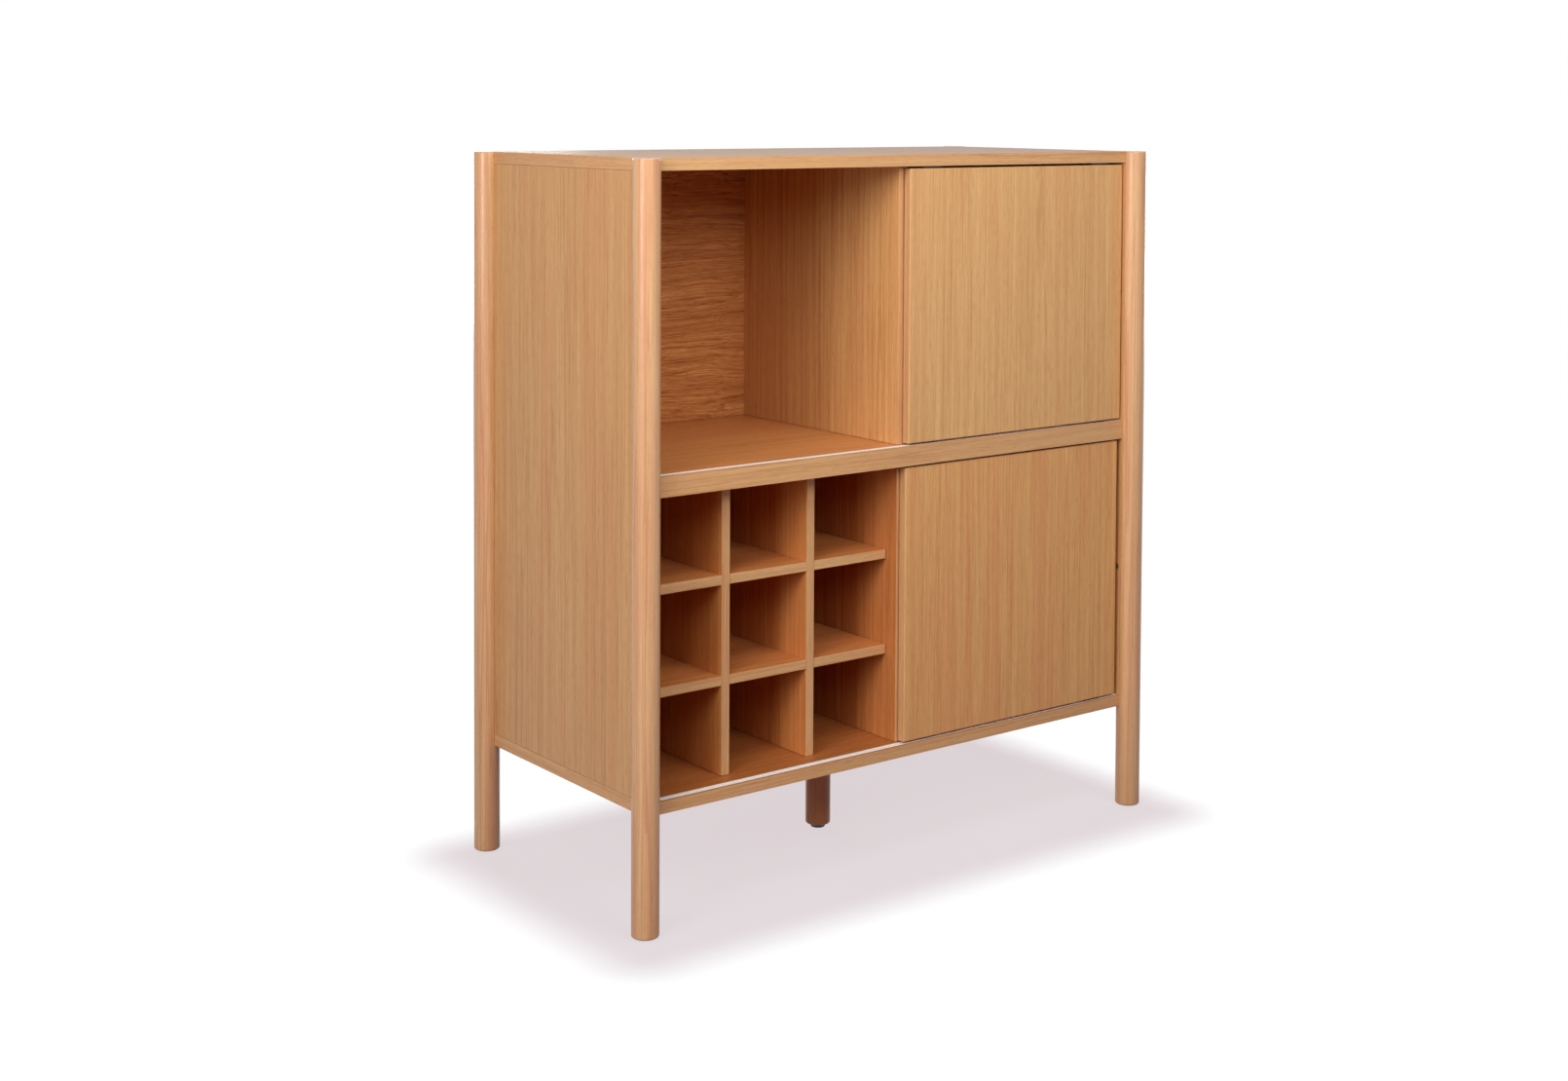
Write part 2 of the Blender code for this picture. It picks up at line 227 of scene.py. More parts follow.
def lies_at(height: float) -> Callable[..., bool]:
    """Test for the edges that lie level at a height."""
    return lambda edge: all(abs(vert.co.z - height) < TINY for vert in edge.verts)


def draw_out(piece: Piece, start: Span, rings: list[Span]) -> None:
    """Draw the end face of an upright round piece out through rings, as a lathe would leave it.

    Args:
        piece: a round piece about the Z axis.
        start: radius and height of its end face.
        rings: radius and height of each ring that follows.
    """
    radius, height = start
    with editing(piece, "FACE") as mesh:
        pick(mesh.faces,
             lambda face: len(face.verts) > 4 and abs(face.calc_center_median().z - height) < TINY)
        for next_radius, next_height in rings:
            bpy.ops.mesh.extrude_region_move(TRANSFORM_OT_translate={"value": (0, 0, next_height - height)})
            bpy.ops.transform.resize(value=(next_radius / radius, next_radius / radius, 1),
                                     center_override=(0, 0, next_height))
            radius, height = next_radius, next_height


def cut_away(piece: Piece, cutter: Piece) -> None:
    """Take a cutter's shape out of a piece and remove the cutter.

    Args:
        piece: the piece to cut.
        cutter: the cutter.
    """
    cut = piece.modifiers.new("cut", "BOOLEAN")
    cut.operation = "DIFFERENCE"
    cut.solver = "EXACT"
    cut.object = cutter
    select_only(piece)
    bpy.ops.object.modifier_apply(modifier=cut.name)
    bpy.data.objects.remove(cutter)


def cut_box(piece: Piece, low: Point, high: Point) -> None:
    """Take a box out of a piece."""
    cut_away(piece, add_block("cutter", low, high))


def place_copy(model: Piece, name: str, place: Point, axis: Point) -> Piece:
    """Copy a piece that was modelled upright at the origin.

    Args:
        model: the piece to copy.
        name: name of the copy.
        place: where the model's origin goes.
        axis: where the model's +Z points.

    Returns:
        The copy, with its own mesh.
    """
    copy = bpy.data.objects.new(name, model.data.copy())
    copy.data.name = name
    bpy.context.collection.objects.link(copy)
    copy.location = place
    copy.rotation_euler = Vector(axis).to_track_quat("Z", "Y").to_euler()
    return settle(copy)


def remodel(node: str, name: str, width: float) -> Piece:
    """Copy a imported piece, join its triangles to plain faces and round its edges.

    Args:
        node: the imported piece.
        name: name of the copy.
        width: radius of the rounding.

    Returns:
        The copy.
    """
    copy = bpy.data.objects.new(name, frame["nodes"][node].data.copy())
    copy.data.name = name
    copy.data.materials.clear()
    bpy.context.collection.objects.link(copy)
    select_only(copy)
    bpy.ops.mesh.customdata_custom_splitnormals_clear()
    with editing(copy, "VERT"):
        bpy.ops.mesh.select_all(action="SELECT")
        bpy.ops.mesh.remove_doubles(threshold=TINY)
        bpy.ops.mesh.dissolve_limited(angle_limit=FLAT_ANGLE)
    round_edges(copy, width)
    return copy


def smooth(piece: Piece) -> None:
    """Shade the rounded edges smoothly and leave the flat faces flat.

    Args:
        piece: the piece.
    """
    select_only(piece)
    bpy.ops.object.shade_smooth_by_angle(angle=SMOOTH_ANGLE)
    weigh = piece.modifiers.new("weigh", "WEIGHTED_NORMAL")
    weigh.keep_sharp = True
    bpy.ops.object.modifier_apply(modifier=weigh.name)


def stand_in(piece: Piece, node: str, slot: str, *materials: bpy.types.Material) -> None:
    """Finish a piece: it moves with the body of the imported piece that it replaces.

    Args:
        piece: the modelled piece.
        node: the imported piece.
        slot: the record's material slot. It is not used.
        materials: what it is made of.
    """
    for material in materials:
        piece.data.materials.append(material)
    smooth(piece)
    bodies = frame["record"]["behaviour"]["bodies"]
    body = next(name for name, members in bodies.items() if node in members)
    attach(piece, body)
    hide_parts(node)
    log.info("%s: %d faces, rides on %s", piece.name, len(piece.data.polygons), body)


# Shader nodes


def linear(hex_colour: str) -> Colour:
    """Linear colour of a six-digit sRGB one."""
    channels = [int(hex_colour[i:i + 2], 16) / 255 for i in (0, 2, 4)]
    return (*(c / 12.92 if c <= 0.04045 else ((c + 0.055) / 1.055) ** 2.4 for c in channels), 1.0)


def feed(tree: Tree, node: bpy.types.Node, inputs: dict) -> None:
    """Set or link a node's inputs.

    Args:
        tree: the node's tree.
        node: the node.
        inputs: a value or another node's socket for each input, by name or number.
    """
    for name, value in inputs.items():
        if isinstance(value, Socket):
            tree.links.new(value, node.inputs[name])
        else:
            node.inputs[name].default_value = value


def add_node(tree: Tree, kind: str, inputs: dict | None = None, **settings: object) -> bpy.types.Node:
    """Add a node with its settings and links.

    Args:
        tree: the tree that gets the node.
        kind: the node's type, without its common first part.
        inputs: a value or another node's socket for each input, by name or number.
        settings: the node's own settings.

    Returns:
        The node.
    """
    node = tree.nodes.new("ShaderNode" + kind)
    for name, value in settings.items():
        setattr(node, name, value)
    feed(tree, node, inputs or {})
    return node


def compute(tree: Tree, kind: str, operation: str, *values: object, output: int = 0) -> Socket:
    """Add a node that computes.

    Args:
        tree: the tree that gets the node.
        kind: Math or VectorMath.
        operation: what it does.
        values: values or sockets to compute with.
        output: number of the output that holds the result.

    Returns:
        The result.
    """
    return add_node(tree, kind, dict(enumerate(values)), operation=operation).outputs[output]


def blend(tree: Tree, share: Socket, start: object, end: object) -> Socket:
    """Blend two colours.

    Args:
        tree: the tree that gets the node.
        share: how much of the second colour shows.
        start: the first colour or its socket.
        end: the second one.

    Returns:
        The blended colour.
    """
    return add_node(tree, "Mix", {0: share, 6: start, 7: end}, data_type="RGBA").outputs[2]


def spread(tree: Tree, value: Socket, target: Span, source: Span = (0.0, 1.0), **settings: str) -> Socket:
    """Map one range of a value to another.

    Args:
        tree: the tree that gets the node.
        value: the value.
        target: what the source range becomes.
        source: the range to map. Past it, the value stays at the target's ends.
        settings: the node's own settings.

    Returns:
        The mapped value.
    """
    inputs = {"Value": value, "From Min": source[0], "From Max": source[1], "To Min": target[0],
              "To Max": target[1]}
    return add_node(tree, "MapRange", inputs, **settings).outputs["Result"]


def speckle(tree: Tree, place: Socket, size_mm: float, detail: float = 2.0) -> Socket:
    """Add a noise.

    Args:
        tree: the tree that gets the node.
        place: where the noise is read.
        size_mm: its size.
        detail: how many finer noises are added to it.

    Returns:
        Its value.
    """
    return add_node(tree, "TexNoise", {"Vector": place, "Scale": 1000 / size_mm, "Detail": detail}
                    ).outputs["Fac"]


def new_material(name: str) -> tuple[bpy.types.Material, Tree, bpy.types.Node, Socket]:
    """Make a material with a plain shader.

    Args:
        name: its name.

    Returns:
        The material, its tree, its shader and the place on the object.
    """
    material = bpy.data.materials.new(name)
    material.use_nodes = True
    tree = material.node_tree
    place = add_node(tree, "TexCoord").outputs["Object"]
    return material, tree, tree.nodes["Principled BSDF"], place


# Finishes


class Grain(Enum):
    """The way the wood's fibres run, as an axis number."""

    ALONG_FRONT = X
    FRONT_TO_BACK = Y
    UPRIGHT = Z

    def stretch(self, share: float) -> tuple[float, ...]:
        """Scale of a Mapping node that draws a pattern out along the fibres."""
        return tuple(share if axis == self.value else 1.0 for axis in AXES)


class Figure(Enum):
    """How far the grain's lines sway and over what length, both in millimetres."""

    STRAIGHT = (3.0, 170.0)
    WAVY = (16.0, 60.0)


@dataclass(frozen=True)
class Tones:
    """Colours of one lot of oak: its pale and dark streaks, rosy bands, and growth lines and pores."""

    pale: str
    dark: str
    rosy: str
    line: str


class Lot(Enum):
    """The lots of oak that the cabinet is made from. Some lots paint in light: the top's is paler and greyer
    as a painted reflection, and the centre leg's, the lower door's, the bottom's, the middle shelf's, the
    lower divider's, the rack's and the backs' are darker or more orange as painted shade.
    """

    SOLID = Tones("E1B888", "C18B5F", "CF8A64", "A8643F")
    # Redder and more saturated than the posts: painted shade under the cabinet
    LEG = Tones("E8A057", "C87235", "D07035", "A85226")
    # Paler and greyer than the sides: painted reflection of the white surroundings, seen at a grazing angle
    TOP = Tones("C3A17B", "A47755", "B17F66", "905D3E")
    SIDE = Tones("D9AD74", "B8804B", "C87F50", "A15C34")
    UPPER_DOOR = Tones("E6BD81", "C48C54", "D28C5E", "A86136")
    # Redder and a little darker than the upper door's: painted shade, as the light falls off toward the floor
    LOWER_DOOR = Tones("E6B575", "C4864C", "D28655", "A85E31")
    EDGE = Tones("DDB27C", "C38B59", "CC8C63", "A6683D")
    # More orange than the outer veneer: painted shade of the upper compartment's floor
    SHELF = Tones("E19F5E", "BF7740", "CE7E4D", "A85E2E")
    # Darker and redder than the other boards: painted shade on the lower compartment's floor
    BOTTOM = Tones("BA743C", "9E5627", "AA5B30", "8A431A")
    UPPER = Tones("E7B779", "C68850", "D0905F", "A76334")
    # Darker and redder than the upper divider's: painted shade of the lower compartment
    LOWER = Tones("D38D51", "B56834", "BE6F3F", "984A20")
    # Darker and more orange than the outer veneer: partly painted shade of the deep compartments
    BACK = Tones("E8A563", "A6602F", "C27644", "8E4A20")
    # More orange than the outer veneer: painted shade, the red-brown of the rack's deep cells
    RACK = Tones("E8A15B", "C6783E", "D67F4B", "AF5E2D")


@dataclass(frozen=True)
class Seeds:
    """How far the grain is shifted in the pieces of one kind, so that no two of them are alike."""

    first: float
    step: float

    def at(self, number: float) -> float:
        """The shift of one piece."""
        return self.first + self.step * number


@dataclass(frozen=True)
class Oak:
    """Oak under satin lacquer: streaks of every width, thin red-brown growth lines, and soft rosy bands.

    The streaks and lines give the grain its direction, the bands keep two boards from looking alike, and the
    short open pores break up the lacquer's sheen.
    """

    name: str
    grain: Grain
    lot: Lot
    seed: float = 0.0
    figure: Figure = Figure.STRAIGHT
    contrast: float = 1.25
    streak_mm: float = 6.5
    band_mm: float = 28.0
    band_depth: float = 0.3
    line_mm: float = 8.0
    line_width: float = 0.02
    line_depth: float = 0.3
    # Real pores are 0.3 mm wide. They are drawn 0.9 mm wide, so that they show.
    pore_mm: float = 0.9
    pore_depth: float = 0.3
    roughness: float = 0.42
    pore_roughness: float = 0.18
    sheen: float = 0.5
    # Size of each noise across the grain over its size along the grain
    bend_share: float = 0.45
    streak_share: float = 0.014
    band_share: float = 0.04
    line_share: float = 0.01
    pore_share: float = 0.06
    # Values of the noises at which a streak, a band or a pore starts and is full
    streak_span: Span = (0.2, 0.8)
    band_span: Span = (0.42, 0.68)
    pore_span: Span = (0.5, 0.75)
    dip_strength: float = 0.12
    dip_depth: float = 0.0002
    # How far a seed of 1 shifts the noises along each axis, after their stretch
    seed_ways: Triple = (1.37, 2.11, 0.73)

    def noise(self, tree: Tree, place: Socket, size_mm: float, share: float,
              **details: float) -> bpy.types.NodeOutputs:
        """Noise drawn out along the grain, and shifted by the seed.

        Args:
            tree: the material's tree.
            place: where the noise is read.
            size_mm: its size across the grain.
            share: its size across the grain over that along it.
            details: the noise's further inputs.

        Returns:
            The node's outputs, its value and its colour.
        """
        shift = tuple(self.seed * way for way in self.seed_ways)
        drawn = add_node(tree, "Mapping",
                         {"Vector": place, "Location": shift, "Scale": self.grain.stretch(share)})
        inputs = {"Vector": drawn.outputs["Vector"], "Scale": 1000 / size_mm, **details}
        return add_node(tree, "TexNoise", inputs).outputs

    def material(self) -> bpy.types.Material:
        """Make the finish.

        Returns:
            The material.
        """
        material, tree, shader, place = new_material(self.name)
        tones = self.lot.value
        sway_mm, bend_mm = self.figure.value
        bend = self.noise(tree, place, bend_mm, self.bend_share, Detail=1.0)
        swayed = compute(tree, "VectorMath", "MULTIPLY_ADD", bend["Color"], (sway_mm / 1000,) * 3, place)

        streaks = self.noise(tree, swayed, self.streak_mm, self.streak_share, Detail=4.0, Roughness=1.0)
        half = self.contrast / 2
        shade = spread(tree, streaks["Fac"], (0.5 - half, 0.5 + half), self.streak_span)
        wood = blend(tree, shade, linear(tones.dark), linear(tones.pale))

        bands = self.noise(tree, swayed, self.band_mm, self.band_share, Detail=2.0)
        band = spread(tree, bands["Fac"], (0.0, self.band_depth), self.band_span,
                      interpolation_type="SMOOTHSTEP")
        tinted = blend(tree, band, wood, linear(tones.rosy))

        growth = self.noise(tree, swayed, self.line_mm, self.line_share, Detail=1.0)
        crossing = compute(tree, "Math", "COMPARE", growth["Fac"], 0.5, self.line_width)
        line = compute(tree, "Math", "MULTIPLY", crossing, self.line_depth)
        lined = blend(tree, line, tinted, linear(tones.line))

        pores = self.noise(tree, swayed, self.pore_mm, self.pore_share, Detail=1.0)
        pore = spread(tree, pores["Fac"], (0.0, 1.0), self.pore_span)
        shown = compute(tree, "Math", "MULTIPLY", pore, self.pore_depth)
        pored = blend(tree, shown, lined, linear(tones.line))

        gloss = spread(tree, pore, (self.roughness, self.roughness + self.pore_roughness))
        dip = add_node(tree, "Bump", {"Height": pore, "Strength": self.dip_strength,
                                      "Distance": self.dip_depth}, invert=True)
        feed(tree, shader, {"Specular IOR Level": self.sheen, "Base Color": pored, "Roughness": gloss,
                            "Normal": dip.outputs["Normal"]})
        return material


@dataclass(frozen=True)
class MouldedNylon:
    """Injection-moulded nylon: an even colour with the fine grit of the mould, which dulls its sheen."""

    name: str
    colour: str
    roughness: Span = (0.39, 0.51)
    grit_mm: float = 0.35
    grit_strength: float = 0.12
    grit_depth: float = 0.0001
    ior: float = 1.53

    def material(self) -> bpy.types.Material:
        """Make the finish.

        Returns:
            The material.
        """
        material, tree, shader, place = new_material(self.name)
        grit = speckle(tree, place, self.grit_mm)
        bump = add_node(tree, "Bump", {"Height": grit, "Strength": self.grit_strength,
                                       "Distance": self.grit_depth})
        feed(tree, shader, {"Base Color": linear(self.colour), "IOR": self.ior,
                            "Roughness": spread(tree, grit, self.roughness),
                            "Normal": bump.outputs["Normal"]})
        return material


@dataclass(frozen=True)
class ExtrudedPvc:
    """Extruded white PVC: off-white, with faint die lines along the strip that draw its sheen out."""

    name: str = "extruded_white_pvc"
    colour: str = "F6F2EC"
    roughness: Span = (0.26, 0.42)
    # Real die lines are about 0.1 mm wide. They are drawn 0.6 mm wide, so that they show.
    line_mm: float = 0.6
    line_share: float = 0.005
    ior: float = 1.54

    def material(self) -> bpy.types.Material:
        """Make the finish.

        Returns:
            The material.
        """
        material, tree, shader, place = new_material(self.name)
        along = add_node(tree, "Mapping",
                         {"Vector": place, "Scale": Grain.ALONG_FRONT.stretch(self.line_share)})
        lines = speckle(tree, along.outputs["Vector"], self.line_mm)
        feed(tree, shader, {"Base Color": linear(self.colour), "IOR": self.ior,
                            "Roughness": spread(tree, lines, self.roughness)})
        return material


@dataclass(frozen=True)
class ZincPlatedSteel:
    """Zinc-plated and passivated steel: a cool grey metal with a cloudy, faintly yellow film."""

    name: str = "zinc_plated_steel"
    cool: str = "B9BEC2"
    yellow: str = "C6C1A8"
    roughness: Span = (0.25, 0.4)
    cloud_mm: float = 2.5

    def material(self) -> bpy.types.Material:
        """Make the finish.

        Returns:
            The material.
        """
        material, tree, shader, place = new_material(self.name)
        clouds = speckle(tree, place, self.cloud_mm)
        feed(tree, shader, {"Metallic": 1.0,
                            "Base Color": blend(tree, clouds, linear(self.cool), linear(self.yellow)),
                            "Roughness": spread(tree, clouds, self.roughness)})
        return material


@dataclass(frozen=True)
class BareBeech:
    """Planed beech without lacquer: pale and dull, with small darker flecks."""

    name: str = "bare_beech"
    wood: str = "DDBB90"
    fleck: str = "B98A5C"
    fleck_mm: float = 0.7
    fleck_depth: float = 0.7
    fleck_span: Span = (0.55, 0.75)
    roughness: float = 0.65

    def material(self) -> bpy.types.Material:
        """Make the finish.

        Returns:
            The material.
        """
        material, tree, shader, place = new_material(self.name)
        flecks = speckle(tree, place, self.fleck_mm, detail=1.0)
        share = spread(tree, flecks, (0.0, self.fleck_depth), self.fleck_span)
        feed(tree, shader, {"Roughness": self.roughness,
                            "Base Color": blend(tree, share, linear(self.wood), linear(self.fleck))})
        return material


# The cabinet's sub-assemblies


@dataclass(frozen=True)
class Board:
    """A veneered board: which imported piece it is, the axis of its thickness, and its faces' grain."""

    node: str
    thin: int
    grain: Grain
    lot: Lot
    seed: float
    edge_round: float = 0.0006
    round_steps: int = 2
    slot: str = "oak_veneer_board"
    band_seed: float = 0.4

    def model(self) -> Piece:
        """Model the board with its rounded edges.

        Returns:
            The board.
        """
        piece = add_block(f"oak_{self.node}", *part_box(self.node))
        round_edges(piece, self.edge_round, self.round_steps)
        return piece

    def dress(self, piece: Piece, **looks: object) -> None:
        """Veneer the faces, and give each edge a band whose grain runs along the edge.

        Args:
            piece: the board.
            looks: fields of the veneer that differ from common oak.
        """
        others = [axis for axis in AXES if axis != self.thin]
        veneer = Oak(f"oak_veneer_{self.node}", self.grain, self.lot, self.seed, **looks)
        finishes = {self.thin: veneer.material()}
        for axis in others:
            band = Oak(f"oak_edge_band_{self.node}_{'xyz'[axis]}", Grain(sum(others) - axis), Lot.EDGE,
                       self.seed + axis + self.band_seed, streak_mm=8.0, band_mm=12.0, line_mm=5.0)
            finishes[axis] = band.material()
        for axis in AXES:
            piece.data.materials.append(finishes[axis])
        for face in piece.data.polygons:
            face.material_index = max(AXES, key=lambda axis: abs(face.normal[axis]))
        stand_in(piece, self.node, self.slot)


@dataclass
class Posts:
    """Four round corner posts that are also the legs, rebated for the carcass's corners, and a fifth leg."""

    sides: int = 128
    top_round: float = 0.002
    foot_round: float = 0.0026
    round_steps: int = 4
    rebate_size: float = 0.05
    seeds: Seeds = Seeds(3.1, 1.7)
    leg_number: float = 4.3

    def model_post(self, node: str) -> Piece:
        """Model a whole round post with its rounded ends.

        Args:
            node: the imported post.

        Returns:
            The post.
        """
        low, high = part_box(node)
        centre = (low + high) / 2
        piece = add_rod(f"oak_{node}", (high.x - low.x) / 2, low.z, high.z, self.sides, centre.x, centre.y)
        round_edges(piece, self.foot_round, self.round_steps, lies_at(low.z))
        round_edges(piece, self.top_round, self.round_steps, lies_at(high.z))
        return piece

    def rebate(self, piece: Piece, end: str, side: str) -> None:
        """Cut out the quarter of a post that the carcass corner fills.

        Args:
            piece: the post.
            end: front or rear.
            side: left or right.
        """
        low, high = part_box("bottom_panel")
        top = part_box("top_panel")[1].z
        x = (low.x if side == "left" else high.x) + SIDES[side] * JOINT_GAP
        y = (low.y if end == "front" else high.y) + ENDS[end] * JOINT_GAP
        inner_x, inner_y = x - SIDES[side] * self.rebate_size, y - ENDS[end] * self.rebate_size
        cut_box(piece, (min(x, inner_x), min(y, inner_y), low.z - JOINT_GAP),
                (max(x, inner_x), max(y, inner_y), top + REACH))

    def dress(self, piece: Piece, node: str, lot: Lot, number: float) -> None:
        """Dress a post or leg as solid oak, its grain upright.

        Args:
            piece: the post or leg.
            node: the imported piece.
            lot: its lot of oak.
            number: its number, which shifts its grain.
        """
        oak = Oak(f"solid_oak_{node}", Grain.UPRIGHT, lot, self.seeds.at(number), streak_mm=6.0,
                  band_mm=14.0, band_depth=0.45, line_mm=9.0, roughness=0.26)
        stand_in(piece, node, "solid_oak_post", oak.material())

    def build(self, fasteners: "Fasteners", glides: "Glides") -> None:
        """Model and dress the posts and the centre leg.

        Args:
            fasteners: what drills them for the screws.
            glides: what bores them for the glides.
        """
        places = [(end, side) for end in ENDS for side in SIDES]
        for number, (end, side) in enumerate(places):
            node = f"post_{end}_{side}"
            piece = self.model_post(node)
            self.rebate(piece, end, side)
            glides.bore(piece, f"glide_{end}_{side}")
            for half in HALVES:
                fasteners.drill_screw(piece, f"post_screw_{end}_{side}_{half}")
            self.dress(piece, node, Lot.SOLID, number)
        leg = self.model_post("centre_leg")
        glides.bore(leg, "glide_centre")
        fasteners.drill_screw(leg, "centre_leg_screw")
        # The centre leg's lot is redder, as painted shade under the bottom panel
        self.dress(leg, "centre_leg", Lot.LEG, self.leg_number)


@dataclass
class Glides:
    """Black nylon glides: a disc with a rounded rim, and a stem with barbs that is pressed into the leg."""

    sides: int = 64
    rim_round: float = 0.0009
    rim_steps: int = 3
    disc_ease: float = 0.0004
    bore_margin: float = 0.00025
    stem_diameter: float = 0.006
    stem_ease: float = 0.0006
    # The neck's width over the stem's, and the barbs' start, pitch and length over the stem's length
    neck_share: float = 0.84
    barbs: int = 3
    barb_start: float = 0.2
    barb_pitch: float = 0.25
    barb_length: float = 0.2

    def bore(self, leg: Piece, node: str) -> None:
        """Bore a leg's end for the stem.

        Args:
            leg: the post or leg.
            node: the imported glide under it.
        """
        low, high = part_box(node)
        centre = (low + high) / 2
        cut_away(leg, add_rod("cutter", self.stem_diameter / 2 + self.bore_margin, low.z,
                              high.z + self.bore_margin, self.sides, centre.x, centre.y))

    def model(self, node: str, leg: str) -> Piece:
        """Model a glide at the origin, standing on its disc.

        Args:
            node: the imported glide.
            leg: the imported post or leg, whose end is just above the disc.

        Returns:
            The glide.
        """
        low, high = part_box(node)
        disc = (high.x - low.x) / 2
        disc_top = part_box(leg)[0].z - JOINT_GAP
        stem = self.stem_diameter / 2
        neck = stem * self.neck_share
        piece = add_rod("glide", disc, 0.0, disc_top, self.sides)
        round_edges(piece, self.rim_round, self.rim_steps, lies_at(0.0))
        stem_length = high.z - disc_top
        rings = [(disc - self.disc_ease, disc_top), (neck, disc_top)]
        for number in range(self.barbs):
            start = disc_top + stem_length * (self.barb_start + self.barb_pitch * number)
            rings += [(neck, start), (stem, start), (neck, start + stem_length * self.barb_length)]
        rings += [(neck, high.z - self.stem_ease), (neck - self.stem_ease, high.z)]
        draw_out(piece, (disc, disc_top), rings)
        return piece

    def build(self) -> None:
        """Model a low glide for the posts and a taller one for the centre leg, and copy them."""
        nylon = MouldedNylon("black_moulded_nylon", "141414").material()
        corners = [f"{end}_{side}" for end in ENDS for side in SIDES]
        kinds = ([(f"glide_{corner}", f"post_{corner}") for corner in corners],
                 [("glide_centre", "centre_leg")])
        for kind in kinds:
            model = self.model(*kind[0])
            for node, _ in kind:
                low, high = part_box(node)
                centre = (low + high) / 2
                piece = place_copy(model, f"nylon_{node}", (centre.x, centre.y, 0.0), (0, 0, 1))
                stand_in(piece, node, "black_nylon", nylon)
            bpy.data.objects.remove(model)


@dataclass
class Fasteners:
    """Countersunk screws with a cross recess, and fluted beech dowels."""

    screw_diameter: float = 0.004
    head_depth: float = 0.0025
    tip_length: float = 0.002
    tip_share: float = 0.15
    screw_sides: int = 32
    recess_length: float = 0.0042
    recess_width: float = 0.001
    recess_depth: float = 0.0017
    margin: float = 0.00025
    dowel_sides: int = 24
    flute_share: float = 0.93
    chamfer: float = 0.001

    def screw_shape(self, head: float, length: float, grow: float, rise: float) -> Piece:
        """Screw, or the hole for one, with its head's face at the origin and its shank down.

        Args:
            head: the head's radius.
            length: from the head's face to the tip.
            grow: clearance all round.
            rise: how far a hole's cutter reaches past the face.

        Returns:
            The shape.
        """
        shank = self.screw_diameter / 2 + grow
        low, high = self.tip_length - length - grow, -self.head_depth - grow
        shape = add_rod("screw", shank, low, high, self.screw_sides)
        draw_out(shape, (shank, high), [(head + grow, 0.0)] + ([(head + grow, rise)] if rise else []))
        draw_out(shape, (shank, low), [(shank * self.tip_share, -length - grow)])
        return shape

    def screw_place(self, node: str) -> tuple[Vector, Vector, float, float]:
        """Find where a packed screw is.

        Args:
            node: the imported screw.

        Returns:
            The middle of its head's face, the axis out of its head, its head's radius and its length.
        """
        low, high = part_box(node)
        centre = (low + high) / 2
        if node == "centre_leg_screw":
            top = Vector((centre.x, centre.y, high.z))
            return top, Vector((0, 0, 1)), (high.x - low.x) / 2, high.z - low.z
        inner, sign = (high.x, 1) if centre.x < 0 else (low.x, -1)
        face = Vector((inner, centre.y, centre.z))
        return face, Vector((sign, 0, 0)), (high.z - low.z) / 2, high.x - low.x

    def drill_screw(self, piece: Piece, node: str) -> None:
        """Drill and countersink a piece for a screw.

        Args:
            piece: the piece.
            node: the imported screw.
        """
        place, axis, head, length = self.screw_place(node)
        shape = self.screw_shape(head, length, self.margin, REACH)
        cut_away(piece, place_copy(shape, "cutter", place, axis))
        bpy.data.objects.remove(shape)

    def drill_dowel(self, piece: Piece, node: str) -> None:
        """Drill a piece for a dowel.

        Args:
            piece: the piece.
            node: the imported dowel.
        """
        low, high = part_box(node)
        size = high - low
        axis = max(AXES, key=lambda i: size[i])
        half = size[axis] / 2 + self.margin
        rod = add_rod("rod", min(size) / 2 + self.margin, -half, half, self.dowel_sides)
        direction = Vector((0, 0, 0))
        direction[axis] = 1.0
        cut_away(piece, place_copy(rod, "cutter", (low + high) / 2, direction))
        bpy.data.objects.remove(rod)

    def build_screws(self) -> None:
        """Model the two kinds of screw and put each one in its place."""
        steel = ZincPlatedSteel().material()
        nodes = [f"post_screw_{end}_{side}_{half}" for end in ENDS for side in SIDES for half in HALVES]
        for kind in (nodes, ["centre_leg_screw"]):
            head, length = self.screw_place(kind[0])[2:]
            model = self.screw_shape(head, length, 0.0, 0.0)
            long, wide = self.recess_length / 2, self.recess_width / 2
            for x, y in ((long, wide), (wide, long)):
                cut_box(model, (-x, -y, -self.recess_depth), (x, y, REACH))
            for node in kind:
                place, axis = self.screw_place(node)[:2]
                stand_in(place_copy(model, f"steel_{node}", place, axis), node, "zinc_plated_steel", steel)
            bpy.data.objects.remove(model)

    def build_dowels(self) -> None:
        """Model one fluted dowel and put a copy in each place."""
        beech = BareBeech().material()
        low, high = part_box("dowel_top_left_front")
        radius, half = (high.x - low.x) / 2, (high.z - low.z) / 2
        model = add_rod("dowel", radius, self.chamfer - half, half - self.chamfer, self.dowel_sides)
        draw_out(model, (radius, half - self.chamfer), [(radius - self.chamfer, half)])
        draw_out(model, (radius, self.chamfer - half), [(radius - self.chamfer, -half)])
        step = 2 * math.pi / self.dowel_sides
        with editing(model, "VERT") as mesh:
            pick(mesh.verts, lambda vert: round(math.atan2(vert.co.y, vert.co.x) / step) % 2 == 1)
            bpy.ops.transform.resize(value=(self.flute_share, self.flute_share, 1),
                                     center_override=(0, 0, 0))
        for board in ("top", "bottom", "shelf"):
            axis = (1, 0, 0) if board == "shelf" else (0, 0, 1)
            for node in (f"dowel_{board}_{side}_{end}" for side in SIDES for end in ENDS):
                low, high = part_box(node)
                piece = place_copy(model, f"beech_{node}", (low + high) / 2, axis)
                stand_in(piece, node, "beech_dowel", beech)
        bpy.data.objects.remove(model)


